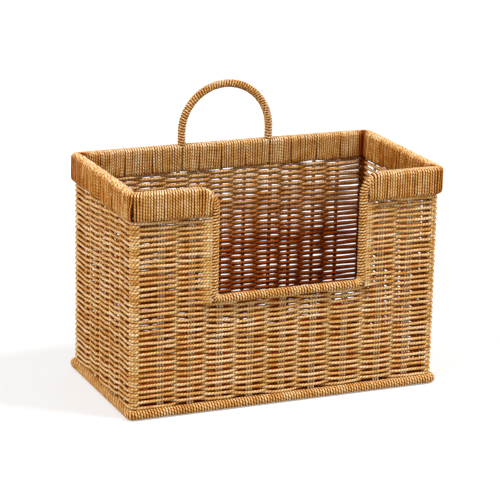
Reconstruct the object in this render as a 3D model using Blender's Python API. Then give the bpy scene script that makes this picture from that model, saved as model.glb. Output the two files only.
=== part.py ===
"""Wall basket: cane cord woven on upright stakes, with a wound rim, cut-out, base hoop and hanging loop.

Metres. +Z is up, +X runs along the length and the cut-out faces -Y. The origin is the middle of the
footprint, on the surface that the basket stands on.
"""

from math import cos, pi, radians, sin

import bmesh
import bpy
from mathutils import Matrix, Vector

# Driving sizes
LENGTH = 0.310  # over the rim, left to right
DEPTH = 0.165  # over the rim, front to back
RIM_HEIGHT = 0.210  # top of the rim
OVERALL_HEIGHT = 0.270  # top of the hanging loop
SILL_HEIGHT = 0.110  # top of the wound sill of the cut-out
CUTOUT_WIDTH = 0.137  # clear width between the wound jambs
BAND_HEIGHT = 0.027  # wound band under the rim
LOOP_WIDTH = 0.0975  # over the outside of the hanging loop
BASE_OUT = 0.0027  # how far the base hoop stands out from the line of the stakes

# Cord, wire and stakes
CORD = 0.0024  # cane cord, for the weave and every winding
WIRE = 0.003  # rim and band wires
BASE_WIRE = 0.004  # wire of the base hoop
STAKE = 0.0025  # upright stakes of the weave
LOOP_ROD = 0.003  # core of the hanging loop
CLEAR = 0.0003  # gap between two pieces that touch
RIB_DEPTH = 0.0008  # how far a winding dips between two turns
WINDING_END = 0.0012  # plain stretch at each end of a ribbed winding
LOOP_LEG = 0.002  # least straight length of a loop's leg above the rim

# Bends
CORNER_BEND = 0.0062  # rim and band wires at a corner of the basket, to the middle of the wire
BASE_BEND = 0.0032  # base wire at a corner of the basket
CURL_BEND = 0.010  # rim wire where the rim turns down into a jamb
SILL_BEND = 0.0062  # rim wire where a jamb meets the sill
LEAST_BEND = 0.0004  # a surface that would bend tighter than this keeps a sharp corner
SHARP_STEP = 0.0001  # between the points of a sharp corner

# Places of the stakes, chosen to follow their uneven spacing. Back and side ones are shares of half of
# the stake line, sill ones of half of the cut-out, and wing ones of the wing, from the jamb outwards.
BACK_STAKE_SHARES = (-0.855, -0.689, -0.503, -0.184, -0.026, 0.139, 0.466, 0.635, 0.807)
SIDE_STAKE_SHARES = (-0.72, -0.385, -0.024, 0.321, 0.674)
SILL_STAKE_SHARES = (-0.956, -0.514, -0.055, 0.388, 0.850)
WING_STAKE_SHARES = (0.236, 0.672)

# Between two stakes the rows cross: a place in the bay, and how far the wall has drawn in there
BAY_SHARES = ((0.24, 0.0), (0.5, 1.0), (0.76, 0.0))

# The weave's relief, in few and tall courses that pass outside and inside each stake in turn
BACK_COURSES = 7
SIDE_COURSES = 7
POCKET_SHARE = 0.30  # how far a pocket beside a stake reaches, as a share of the way to the next one
BACK_LAP = 0.0017  # pockets of the back overlap by this at each end, which opens the wall there
SIDE_LAP = -0.0006  # those of the sides stop short of each other, so the sides stay closed

# Facets
SIDES = 8  # round a cord, wire or stake
CHANNEL_SIDES = 4  # of the channel that a wall leaves for a stake
BEND_STEPS = 4  # in a right angle
ROUND_STEPS = 3  # in each rounded edge of the band
LOOP_STEPS = 12  # in each right angle of the hanging loop
CUT_OVERRUN = 0.004  # how far a cutter runs past the face that it cuts

# Layers of the wound band, outward from the inside of the basket: cord, stake or loop rod, wire, cord
INNER_LAYER = max(STAKE, LOOP_ROD)
WALL = STAKE + 2 * CORD  # woven wall: a cord passes on each side of the stakes
STAKE_HOLD = STAKE / 2 + CLEAR + CORD  # the wall keeps its thickness this far past a stake's middle
WIRE_OUT = INNER_LAYER / 2 + CLEAR + WIRE / 2  # from the stake line out to the wires
BAND_OUT = WIRE_OUT + WIRE / 2 + CLEAR + CORD  # from the stake line out to the band's face
BAND_IN = INNER_LAYER / 2 + CLEAR + CORD  # from the stake line in to the band's inner face
TUBE = WIRE / 2 + CLEAR + CORD  # radius of the winding round a bare wire
BASE_TUBE = BASE_WIRE / 2 + CLEAR + CORD  # radius of the winding round the base wire
LOOP_TUBE = LOOP_ROD / 2 + CLEAR + CORD  # radius of the winding round the loop's rod

# The line that the stakes stand on
LINE_X = LENGTH / 2 - BAND_OUT
LINE_Y = DEPTH / 2 - BAND_OUT
LINE_BEND = CORNER_BEND - WIRE_OUT

# Heights
BASE_TOP = 2 * BASE_TUBE
WEAVE_BOTTOM = BASE_TOP + CLEAR
BAND_BOTTOM = RIM_HEIGHT - BAND_HEIGHT
RIM_WIRE_Z = RIM_HEIGHT - TUBE
BAND_WIRE_Z = BAND_BOTTOM + TUBE
SILL_WIRE_Z = SILL_HEIGHT - TUBE
FRONT_TOP = SILL_HEIGHT - 2 * TUBE - CLEAR
STAKE_TOP = RIM_HEIGHT - CORD - CLEAR

# The cut-out
JAMB_X = CUTOUT_WIDTH / 2 + TUBE  # middle of each jamb
WING_X = JAMB_X + TUBE + CLEAR  # where the weave beside a jamb begins
CURL_X = JAMB_X + CURL_BEND  # where the rim's top run begins
WIRE_Y = LINE_Y + WIRE_OUT

# The hanging loop: a half circle where its height allows, and else two bends and a straight top
LEG_X = LOOP_WIDTH / 2 - LOOP_TUBE
LOOP_TOP_Z = OVERALL_HEIGHT - LOOP_TUBE
LOOP_BEND = min(LEG_X, LOOP_TOP_Z - RIM_HEIGHT - LOOP_LEG)
LOOP_FOOT_Z = BAND_BOTTOM + CORD + CLEAR
LOOP_STAKE_X = LEG_X + (LOOP_ROD + STAKE) / 2 + CLEAR  # a stake stands beside each leg

# Finishes: colour, roughness, metallic
FINISHES = {
    "cane_cord": ((0.56, 0.29, 0.09, 1.0), 0.5, 0.0),
    "cane_stake": ((0.36, 0.17, 0.05, 1.0), 0.6, 0.0),
    "frame_wire": ((0.30, 0.27, 0.23, 1.0), 0.45, 0.9),
}

RIGHT, BACK, UP = Vector((1, 0, 0)), Vector((0, 1, 0)), Vector((0, 0, 1))
SIDE_TURNS = {"back": 0, "left": pi / 2, "front": pi, "right": -pi / 2}  # about +Z, from the back


def clear_scene():
    for thing in list(bpy.data.objects):
        bpy.data.objects.remove(thing)


def finish(name):
    """The material of that name, made once."""
    found = bpy.data.materials.get(name)
    if found:
        return found
    colour, roughness, metallic = FINISHES[name]
    made = bpy.data.materials.new(name)
    made.use_nodes = True
    shader = made.node_tree.nodes["Principled BSDF"]
    shader.inputs["Base Color"].default_value = colour
    shader.inputs["Roughness"].default_value = roughness
    shader.inputs["Metallic"].default_value = metallic
    return made


def add_mesh(name, points, faces, material):
    """One object from its points and faces, with the faces turned outwards."""
    mesh = bpy.data.meshes.new(name)
    mesh.from_pydata([tuple(point) for point in points], [], faces)
    built = bmesh.new()
    built.from_mesh(mesh)
    bmesh.ops.recalc_face_normals(built, faces=built.faces)
    built.to_mesh(mesh)
    built.free()
    mesh.materials.append(finish(material))
    thing = bpy.data.objects.new(name, mesh)
    bpy.context.scene.collection.objects.link(thing)
    return thing


def hide(thing):
    """Marks a cutter or a guide, which isn't a piece."""
    thing.display_type = "WIRE"
    thing.hide_render = True
    return thing


def combine(thing, other, operation):
    """Cuts or joins with a hidden helper."""
    change = thing.modifiers.new(operation.lower(), "BOOLEAN")
    change.operation = operation
    change.object = hide(other)


def ring(radius, sides=SIDES, around=False):
    """Points of a regular outline. With around, its flats touch the circle, and else its corners do."""
    turn = pi / sides if around else 0
    reach = radius / cos(pi / sides) if around else radius
    angles = [turn + 2 * pi * k / sides for k in range(sides)]
    return [(reach * cos(angle), reach * sin(angle)) for angle in angles]


class Route:
    """A line made of straight runs and round bends, which remembers where each begins."""

    def __init__(self, start, heading, side):
        self.point = Vector(start)
        self.heading = Vector(heading)
        self.side = Vector(side)  # square to the heading, carried along the bends
        self.legs = []
        self.length = 0.0

    def line(self, distance):
        if distance > 0:
            leg = (self.length, distance, self.point.copy(), self.heading.copy(), self.side.copy(), None)
            self.legs.append(leg)
            self.point = self.point + self.heading * distance
            self.length += distance
        return self

    def bend(self, radius, angle, axis, steps=BEND_STEPS):
        """Turns by an angle about an axis, at a radius."""
        axis = Vector(axis)
        centre = self.point + axis.cross(self.heading) * radius
        distance = radius * angle
        arc = (centre, axis, angle, steps)
        leg = (self.length, distance, self.point.copy(), self.heading.copy(), self.side.copy(), arc)
        self.legs.append(leg)
        turn = Matrix.Rotation(angle, 3, axis)
        self.point = centre + turn @ (self.point - centre)
        self.heading = turn @ self.heading
        self.side = turn @ self.side
        self.length += distance
        return self

    def at(self, distance):
        """The point, heading and side at a distance along the route."""
        leg = next((leg for leg in reversed(self.legs) if leg[0] <= distance), self.legs[0])
        begin, reach, point, heading, side, arc = leg
        if arc is None:
            return point + heading * (distance - begin), heading, side
        centre, axis, angle, _ = arc
        turn = Matrix.Rotation(angle * (distance - begin) / reach, 3, axis)
        return centre + turn @ (point - centre), turn @ heading, turn @ side

    def stops(self):
        """Distances of the route's ends, corners and bend steps."""
        found = [0.0]
        for begin, reach, _, _, _, arc in self.legs:
            steps = arc[3] if arc else 1
            found += [begin + reach * k / steps for k in range(1, steps + 1)]
        return found

    def place(self, distance, outline):
        """An outline's points, across the route at a distance."""
        point, heading, side = self.at(distance)
        other = heading.cross(side)
        return [point + side * u + other * v for u, v in outline]


def tube_faces(rows, across, closed):
    """Faces between rows of points, each joined to the next one."""
    count = rows if closed else rows - 1
    faces = []
    for row in range(count):
        here, there = row * across, (row + 1) % rows * across
        for k in range(across):
            after = (k + 1) % across
            faces.append((here + k, here + after, there + after, there + k))
    return faces


def add_wire(name, route, thickness, closed, material="frame_wire"):
    """A round rod along a route."""
    stops = route.stops()[:-1] if closed else route.stops()
    points = [point for stop in stops for point in route.place(stop, ring(thickness / 2))]
    faces = tube_faces(len(stops), SIDES, closed)
    if not closed:
        faces.append(tuple(range(SIDES)))
        faces.append(tuple(range(len(points) - SIDES, len(points))))
    return add_mesh(name, points, faces, material)


def add_winding(name, route, bore, crest):
    """Cord wound round a rod: one unbroken ridge that climbs the route, with a bore for the rod."""
    turns = round((route.length - 2 * WINDING_END) / CORD)
    pitch = (route.length - 2 * WINDING_END) / turns
    last = turns * SIDES
    root = crest - RIB_DEPTH

    def on_helix(step, shift, radius):
        distance = WINDING_END + pitch * (step / SIDES + shift)
        angle = 2 * pi * step / SIDES
        return route.place(distance, [(radius * cos(angle), radius * sin(angle))])[0]

    points, faces = [], []

    def add(found):
        points.extend(found)
        return list(range(len(points) - len(found), len(points)))

    # The ridge rises out of the winding in its first turn and sinks back in its last
    rise = [min(step, last - step, SIDES) / SIDES for step in range(last + 1)]
    ridge = add([on_helix(step, 0, root + RIB_DEPTH * rise[step]) for step in range(last + 1)])
    dip = add([on_helix(step, 0.5, root) for step in range(last - SIDES + 1)])
    near = add(route.place(0, ring(root)))
    far = add(route.place(route.length, ring(root)))
    for k in range(last - SIDES):
        faces.append((ridge[k], ridge[k + 1], dip[k + 1], dip[k]))
        faces.append((dip[k], dip[k + 1], ridge[k + 1 + SIDES], ridge[k + SIDES]))
    for k in range(SIDES):
        after = (k + 1) % SIDES
        back = last - SIDES + k
        faces.append((near[k], near[after], ridge[k + 1], ridge[k]))
        faces.append((ridge[back], ridge[back + 1], far[after], far[k]))
    faces += [(ridge[SIDES], near[0], ridge[0]), (ridge[SIDES], ridge[0], dip[0])]
    end = last - SIDES
    faces += [(ridge[end], dip[end], ridge[last]), (ridge[end], ridge[last], far[0])]

    # The bore, and the flat ring at each end
    stops = route.stops()
    inner = add([point for stop in stops for point in route.place(stop, ring(bore, around=True))])
    start = inner[0]
    faces += [tuple(start + k for k in face) for face in tube_faces(len(stops), SIDES, False)]
    final = inner[-SIDES:]
    for k in range(SIDES):
        after = (k + 1) % SIDES
        faces.append((near[k], near[after], inner[after], inner[k]))
        faces.append((far[k], far[after], final[after], final[k]))
    return add_mesh(name, points, faces, "cane_cord")


def mitre_point(straight, bend, offset, step):
    """Along and out from a corner's centre, for a surface at an offset from the stake line."""
    radius = bend + offset
    half = BEND_STEPS // 2
    if radius < LEAST_BEND:
        return straight + radius - SHARP_STEP * (half - step), radius
    angle = radians(45) * step / half
    return straight + radius * sin(angle), radius * cos(angle)


def run_rows(outline, straight, bend, near_end, far_end):
    """Rows of points along one side of the basket. An end is a distance from the middle where it is
    cut square, or None where it meets the next side in a mitre."""
    half = BEND_STEPS // 2
    rows = []
    for side, square in ((-1, near_end), (1, far_end)):
        if square is not None:
            rows.append([(square, bend + offset, z) for offset, z in outline])
            continue
        corner = []
        for step in range(half + 1):
            back_off = CLEAR / 2 * cos(radians(45)) if step == half else 0
            row = []
            for offset, z in outline:
                along, out = mitre_point(straight, bend, offset, step)
                row.append((side * (along - back_off), out + back_off, z))
            corner.append(row)
        rows += corner if side > 0 else corner[::-1]
    return rows


def add_run(name, outlines, side, bend, out=0.0, near_end=None, far_end=None):
    """One side of a winding that goes round the basket: an outline, or an outline and its bore. Out is
    how far its middle stands out from the line of the stakes."""
    along_x = side in ("back", "front")
    straight = (LINE_X if along_x else LINE_Y) + out - bend
    centre_out = (LINE_Y if along_x else LINE_X) + out - bend
    spin = Matrix.Rotation(SIDE_TURNS[side], 3, "Z")
    points, faces = [], []
    starts = []
    for outline in outlines:
        rows = run_rows(outline, straight, bend, near_end, far_end)
        first = len(points)
        for row in rows:
            points += [spin @ Vector((along, centre_out + past, z)) for along, past, z in row]
        across = len(outline)
        faces += [tuple(first + k for k in face) for face in tube_faces(len(rows), across, False)]
        starts.append((first, first + (len(rows) - 1) * across, across))
    for end in (0, 1):
        loops = [[start[end] + k for k in range(start[2])] for start in starts]
        if len(loops) == 1:
            faces.append(tuple(loops[0]))
            continue
        outer, inner = loops
        for k in range(len(outer)):
            after = (k + 1) % len(outer)
            faces.append((outer[k], outer[after], inner[after], inner[k]))
    return add_mesh(name, points, faces, "cane_cord")


def arc_points(centre, radius, begin, end):
    """Points of a round edge, in degrees from +offset towards +Z."""
    spread = [begin + (end - begin) * k / ROUND_STEPS for k in range(ROUND_STEPS + 1)]
    return [(centre[0] + radius * cos(radians(a)), centre[1] + radius * sin(radians(a))) for a in spread]


def band_outer_edge():
    """The band's outside, from its outer lip over the top to its inner lip."""
    edge = arc_points((WIRE_OUT, BAND_WIRE_Z), TUBE, -90, 0)
    edge += arc_points((WIRE_OUT, RIM_WIRE_Z), TUBE, 0, 90)
    return edge + arc_points((0, RIM_HEIGHT - BAND_IN), BAND_IN, 90, 180)


def band_outline():
    """The wound band: open along its lower edge, where the stakes go in."""
    slot = INNER_LAYER / 2 + CLEAR
    bore_out = WIRE_OUT + WIRE / 2 + CLEAR
    inside = [
        (-BAND_IN, BAND_BOTTOM),
        (-slot, BAND_BOTTOM),
        (-slot, STAKE_TOP + CLEAR),
        (bore_out, STAKE_TOP + CLEAR),
        (bore_out, BAND_BOTTOM + CORD),
        (slot, BAND_BOTTOM + CORD),
        (slot, BAND_BOTTOM),
    ]
    return band_outer_edge() + inside


def rim_route():
    """The rim wire: once round the basket, down both jambs and along the sill."""
    half_x = LINE_X + WIRE_OUT - CORNER_BEND
    half_y = WIRE_Y - CORNER_BEND
    quarter = pi / 2
    route = Route((0, -WIRE_Y, SILL_WIRE_Z), RIGHT, BACK)
    route.line(JAMB_X - SILL_BEND).bend(SILL_BEND, quarter, -BACK)
    route.line(RIM_WIRE_Z - SILL_WIRE_Z - SILL_BEND - CURL_BEND).bend(CURL_BEND, quarter, BACK)
    route.line(half_x - CURL_X).bend(CORNER_BEND, quarter, UP)
    for run in (2 * half_y, 2 * half_x, 2 * half_y):
        route.line(run).bend(CORNER_BEND, quarter, UP)
    route.line(half_x - CURL_X).bend(CURL_BEND, quarter, BACK)
    route.line(RIM_WIRE_Z - SILL_WIRE_Z - SILL_BEND - CURL_BEND).bend(SILL_BEND, quarter, -BACK)
    return route.line(JAMB_X - SILL_BEND)


def band_wire_route():
    """The wire at the foot of the band, from one wing round the back to the other."""
    half_x = LINE_X + WIRE_OUT - CORNER_BEND
    half_y = WIRE_Y - CORNER_BEND
    start_x = tongue_end_x() + CLEAR
    wing = half_x - start_x
    route = Route((start_x, -WIRE_Y, BAND_WIRE_Z), RIGHT, BACK)
    route.line(wing)
    for run in (2 * half_y, 2 * half_x, 2 * half_y):
        route.bend(CORNER_BEND, pi / 2, UP).line(run)
    return route.bend(CORNER_BEND, pi / 2, UP).line(wing)


def base_route():
    """The base wire, once round at the foot of the stakes."""
    half_x, half_y = LINE_X + BASE_OUT - BASE_BEND, LINE_Y + BASE_OUT - BASE_BEND
    route = Route((0, -LINE_Y - BASE_OUT, BASE_TUBE), RIGHT, BACK)
    route.line(half_x)
    for run in (2 * half_y, 2 * half_x, 2 * half_y):
        route.bend(BASE_BEND, pi / 2, UP).line(run)
    return route.bend(BASE_BEND, pi / 2, UP).line(half_x)


def loop_route(foot):
    """The hanging loop, up from a height at its right leg and down to it at its left leg."""
    leg = LOOP_TOP_Z - LOOP_BEND - foot
    route = Route((LEG_X, LINE_Y, foot), UP, RIGHT)
    route.line(leg).bend(LOOP_BEND, pi / 2, -BACK, LOOP_STEPS).line(2 * (LEG_X - LOOP_BEND))
    return route.bend(LOOP_BEND, pi / 2, -BACK, LOOP_STEPS).line(leg)


def band_end_x():
    """Where the full height of a wing's band ends, against the end of the jamb's winding."""
    return CURL_X + CLEAR


def tongue_end_x():
    """Where the low turns under the curl end, one cord into the full height of the band."""
    return band_end_x() + CORD


def add_frame():
    """The wires, and the rod of the hanging loop."""
    add_wire("rim_wire", rim_route(), WIRE, True)
    add_wire("band_wire", band_wire_route(), WIRE, False)
    add_wire("base_wire", base_route(), BASE_WIRE, True)
    add_wire("loop_rod", loop_route(LOOP_FOOT_Z), LOOP_ROD, False)


def add_band():
    """The winding of the rim band: back, sides and the two wings of the front."""
    outline = [band_outline()]
    back = add_run("band_winding_back", outline, "back", LINE_BEND)
    hole = (LOOP_ROD + 2 * CLEAR) / cos(pi / SIDES)
    for side in (-1, 1):
        leg = Route((side * LEG_X, LINE_Y, STAKE_TOP), UP, RIGHT).line(CORD + CUT_OVERRUN)
        combine(back, add_wire(f"leg_hole{side}", leg, hole, False), "DIFFERENCE")
    add_run("band_winding_left", outline, "left", LINE_BEND)
    add_run("band_winding_right", outline, "right", LINE_BEND)
    for name, side in (("left", 1), ("right", -1)):
        ends = {"near_end": band_end_x()} if side > 0 else {"far_end": -band_end_x()}
        wing = add_run(f"band_winding_front_{name}", outline, "front", LINE_BEND, **ends)
        combine(wing, add_band_tongue(side), "UNION")


def add_band_tongue(side):
    """The last turns of a wing's band, which are shorter because the rim curls down over them."""
    reach = CURL_BEND - TUBE - CLEAR
    curl_z = RIM_WIRE_Z - CURL_BEND
    angles = [pi / 2 * k / ROUND_STEPS for k in range(ROUND_STEPS + 1)]
    ends = [CURL_X - reach * cos(a) for a in angles] + [tongue_end_x()]
    tops = [curl_z + reach * sin(a) for a in angles] + [curl_z + reach]
    outline = band_outer_edge() + [(-BAND_IN, BAND_BOTTOM)]
    points = []
    for x, top in zip(ends, tops):
        points += [Vector((-side * x, -LINE_Y - offset, min(z, top))) for offset, z in outline]
    faces = tube_faces(len(ends), len(outline), False)
    faces.append(tuple(range(len(outline))))
    faces.append(tuple(range(len(points) - len(outline), len(points))))
    return add_mesh(f"band_tongue{side}", points, faces, "cane_cord")


def add_cutout_windings():
    """The windings of the jambs, which curl over into the rim, and of the sill."""
    bore = WIRE / 2 + CLEAR
    quarter = pi / 2
    sill_half = JAMB_X - SILL_BEND - CLEAR
    sill = Route((-sill_half, -WIRE_Y, SILL_WIRE_Z), RIGHT, BACK).line(2 * sill_half)
    add_winding("sill_winding", sill, bore, TUBE)
    rise = RIM_WIRE_Z - SILL_WIRE_Z - SILL_BEND - CURL_BEND
    for name, side in (("left", -1), ("right", 1)):
        start = (side * (JAMB_X - SILL_BEND), -WIRE_Y, SILL_WIRE_Z)
        jamb = Route(start, RIGHT * side, BACK)
        jamb.bend(SILL_BEND, quarter, -BACK * side).line(rise).bend(CURL_BEND, quarter, BACK * side)
        add_winding(f"jamb_winding_{name}", jamb, bore, TUBE)


def add_loop_winding():
    """The winding of the hanging loop, from the rim over the top and back to the rim."""
    add_winding("loop_winding", loop_route(RIM_HEIGHT + CLEAR), LOOP_ROD / 2 + CLEAR, LOOP_TUBE)


def add_base():
    """The winding of the base hoop, and the woven floor inside it."""
    outer = [(u, BASE_TUBE + v) for u, v in ring(BASE_TUBE, around=True)]
    bore = [(u, BASE_TUBE + v) for u, v in ring(BASE_WIRE / 2 + CLEAR, around=True)]
    for side in SIDE_TURNS:
        add_run(f"base_winding_{side}", [outer, bore], side, BASE_BEND, BASE_OUT)
    inside = BASE_OUT - BASE_TUBE - CLEAR
    half_x, half_y = LINE_X + inside, LINE_Y + inside
    corners = [(-half_x, -half_y), (half_x, -half_y), (half_x, half_y), (-half_x, half_y)]
    add_slab("woven_floor", corners, [], BASE_TUBE - WALL / 2, BASE_TUBE + WALL / 2)


def add_slab(name, corners, stakes, bottom, top):
    """A woven wall or floor: a flat outline with an open channel for each stake, raised to its top."""
    built = bmesh.new()
    loops = [corners]
    channel = ring(STAKE / 2 + CLEAR, CHANNEL_SIDES, around=True)
    loops += [[(x + u, y + v) for u, v in channel] for x, y in stakes]
    edges = []
    for loop in loops:
        points = [built.verts.new((x, y, bottom)) for x, y in loop]
        edges += [built.edges.new((points[k - 1], points[k])) for k in range(len(points))]
    bmesh.ops.triangle_fill(built, use_beauty=True, edges=edges)
    raised = bmesh.ops.extrude_face_region(built, geom=list(built.faces))
    lifted = [part for part in raised["geom"] if isinstance(part, bmesh.types.BMVert)]
    bmesh.ops.translate(built, verts=lifted, vec=UP * (top - bottom))
    bmesh.ops.recalc_face_normals(built, faces=built.faces)
    mesh = bpy.data.meshes.new(name)
    built.to_mesh(mesh)
    built.free()
    mesh.materials.append(finish("cane_cord"))
    thing = bpy.data.objects.new(name, mesh)
    bpy.context.scene.collection.objects.link(thing)
    return thing


def stake_places():
    """Each stake's name, place and top."""
    corner = LINE_BEND * (1 - cos(radians(45)))
    places = []
    for depth_name, y in (("front", -1), ("back", 1)):
        for side_name, x in (("left", -1), ("right", 1)):
            place = (x * (LINE_X - corner), y * (LINE_Y - corner))
            places.append((f"corner_stake_{depth_name}_{side_name}", place, STAKE_TOP))
    back = sorted([LINE_X * share for share in BACK_STAKE_SHARES] + [-LOOP_STAKE_X, LOOP_STAKE_X])
    places += [(f"back_stake_{k + 1}", (x, LINE_Y), STAKE_TOP) for k, x in enumerate(back)]
    for name, side in (("left", -1), ("right", 1)):
        ys = [LINE_Y * share for share in SIDE_STAKE_SHARES]
        places += [(f"{name}_stake_{k + 1}", (side * LINE_X, y), STAKE_TOP) for k, y in enumerate(ys)]
    for k, share in enumerate(SILL_STAKE_SHARES):
        places.append((f"sill_stake_{k + 1}", (CUTOUT_WIDTH / 2 * share, -LINE_Y), FRONT_TOP))
    wing = LINE_X - WALL / 2 - WING_X
    for name, side in (("left", -1), ("right", 1)):
        for k, share in enumerate(WING_STAKE_SHARES):
            place = (side * (WING_X + wing * share), -LINE_Y)
            places.append((f"wing_stake_{name}_{k + 1}", place, STAKE_TOP))
    return places


def weave_faces(knots, begin, end):
    """Places along a wall, each with half of its thickness there. The rows pass on both sides of each
    knot, which is a stake or a jamb, and cross between two."""
    marks = []
    for near, far in zip(knots[:-1], knots[1:]):
        bay = far - near - 2 * STAKE_HOLD
        if bay > 0:
            for place, drawn in BAY_SHARES:
                marks.append((near + STAKE_HOLD + bay * place, WALL / 2 - (WALL - CORD) / 2 * drawn))

    def half_at(place):
        for (here, half), (there, next_half) in zip(marks[:-1], marks[1:]):
            if here <= place <= there:
                return half + (next_half - half) * (place - here) / (there - here)
        return WALL / 2

    between = [mark for mark in marks if begin < mark[0] < end]
    return [(begin, half_at(begin))] + between + [(end, half_at(end))]


def side_wall_corners(side, knots):
    """Plan of a side wall, which takes in the rounded corners of the basket."""
    outer = LINE_BEND + WALL / 2
    centre = (LINE_X - LINE_BEND, LINE_Y - LINE_BEND)
    angles = [pi / 2 * k / BEND_STEPS for k in range(BEND_STEPS + 1)]
    back = [(centre[0] + outer * cos(a), centre[1] + outer * sin(a)) for a in angles]
    front = [(x, -y) for x, y in back[::-1]]
    faces = weave_faces(knots, -centre[1], centre[1])[1:-1]
    outside = [(LINE_X + half, y) for y, half in faces]
    inside = [(LINE_X - WALL / 2, LINE_Y + WALL / 2)]
    inside += [(LINE_X - half, y) for y, half in faces[::-1]]
    inside += [(LINE_X - WALL / 2, -LINE_Y - WALL / 2)]
    return [(side * x, y) for x, y in front + outside + back + inside]


def add_box(points, faces, side, centre_out, spans):
    """One box of a cutter, from its spans along a side, out from the stake line and up."""
    spin = Matrix.Rotation(SIDE_TURNS[side], 3, "Z")
    first = len(points)
    for z in spans[2]:
        for along, out in ((0, 0), (1, 0), (1, 1), (0, 1)):
            points.append(spin @ Vector((spans[0][along], centre_out + spans[1][out], z)))
    for face in ((0, 1, 2, 3), (4, 5, 6, 7), (0, 1, 5, 4), (1, 2, 6, 5), (2, 3, 7, 6), (3, 0, 4, 7)):
        faces.append(tuple(first + k for k in face))


def cut_pockets(wall, side, stakes, courses, lap, bottom, top):
    """Cuts the wall back to its stakes: at each course, a stake shows outside where the next one shows
    inside. Stakes are distances along the side, from corner to corner."""
    centre_out = LINE_Y if side == "back" else LINE_X
    height = (top - bottom) / courses
    past_middle = STAKE / 4
    reach = WALL / 2 + CUT_OVERRUN
    depths = {0: (-past_middle, reach), 1: (-reach, past_middle)}
    for face, depth in depths.items():
        points, faces = [], []
        for k in range(1, len(stakes) - 1):
            left = stakes[k] - POCKET_SHARE * (stakes[k] - stakes[k - 1])
            right = stakes[k] + POCKET_SHARE * (stakes[k + 1] - stakes[k])
            for course in range(courses):
                if (k + course) % 2 == face:
                    low = max(bottom + height * course - lap, bottom + CORD)
                    high = min(bottom + height * (course + 1) + lap, top - CORD)
                    add_box(points, faces, side, centre_out, ((left, right), depth, (low, high)))
        combine(wall, add_mesh(f"{side}_pockets_{face}", points, faces, "cane_cord"), "DIFFERENCE")


def add_weave():
    """The woven walls, and the stakes that they are woven on."""
    places = stake_places()
    for name, (x, y), top in places:
        stake = Route((x, y, WEAVE_BOTTOM), UP, RIGHT).line(top - WEAVE_BOTTOM)
        add_wire(name, stake, STAKE, False, "cane_stake")
    weave_top = BAND_BOTTOM - CLEAR
    end = LINE_X - WALL / 2 - CLEAR

    def wall(name, left, right, y, bottom, top, jambs=()):
        on_wall = [(u, v) for _, (u, v), _ in places if abs(v - y) < WALL / 2]
        faces = weave_faces(sorted([u for u, _ in on_wall] + list(jambs)), left, right)
        corners = [(x, y - half) for x, half in faces] + [(x, y + half) for x, half in faces[::-1]]
        return add_slab(name, corners, [(u, v) for u, v in on_wall if left < u < right], bottom, top)

    back = wall("woven_back", -end, end, LINE_Y, WEAVE_BOTTOM, weave_top)
    on_back = sorted(x for _, (x, y), _ in places if y > LINE_Y - WALL / 2)
    cut_pockets(back, "back", on_back, BACK_COURSES, BACK_LAP, WEAVE_BOTTOM, weave_top)
    wall("woven_front", -end, end, -LINE_Y, WEAVE_BOTTOM, FRONT_TOP)
    for name, side in (("left", -1), ("right", 1)):
        left, right = sorted((side * WING_X, side * end))
        wall(f"woven_wing_{name}", left, right, -LINE_Y, FRONT_TOP + CLEAR, weave_top, [side * JAMB_X])
        stakes = [(x, y) for _, (x, y), _ in places if abs(x - side * LINE_X) < WALL / 2]
        on_side = sorted(y for _, y in stakes)
        panel = add_slab(f"woven_{name}", side_wall_corners(side, on_side), stakes, WEAVE_BOTTOM, weave_top)
        along = sorted(-side * y for y in on_side)
        cut_pockets(panel, name, along, SIDE_COURSES, SIDE_LAP, WEAVE_BOTTOM, weave_top)


clear_scene()
add_frame()
add_band()
add_cutout_windings()
add_loop_winding()
add_base()
add_weave()
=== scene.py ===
"""Looks of the wall basket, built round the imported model.

Metres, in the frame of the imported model: +Z is up, +X runs along the length and the cut-out faces -Y.
Every visible cord is modelled: the rows of the weave, the strands of the stakes and each winding.
"""

from math import cos, pi, radians, sin

import bpy
import numpy as np
from mathutils import Matrix, Vector


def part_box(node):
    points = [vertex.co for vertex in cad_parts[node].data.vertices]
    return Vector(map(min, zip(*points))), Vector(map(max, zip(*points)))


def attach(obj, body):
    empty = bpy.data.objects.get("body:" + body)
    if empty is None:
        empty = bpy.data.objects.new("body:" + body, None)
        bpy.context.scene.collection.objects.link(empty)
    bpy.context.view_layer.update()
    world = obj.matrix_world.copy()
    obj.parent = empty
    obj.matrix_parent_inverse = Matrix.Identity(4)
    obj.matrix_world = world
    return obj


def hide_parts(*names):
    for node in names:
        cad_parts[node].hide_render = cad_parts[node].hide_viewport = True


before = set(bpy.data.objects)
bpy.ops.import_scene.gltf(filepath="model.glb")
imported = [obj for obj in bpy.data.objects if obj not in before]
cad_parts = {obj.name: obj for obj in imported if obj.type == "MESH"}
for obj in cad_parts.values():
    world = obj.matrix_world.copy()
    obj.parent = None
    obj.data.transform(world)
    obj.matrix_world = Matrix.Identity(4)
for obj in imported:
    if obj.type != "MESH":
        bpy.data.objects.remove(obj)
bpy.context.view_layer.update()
chance = np.random.default_rng(7)

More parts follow.
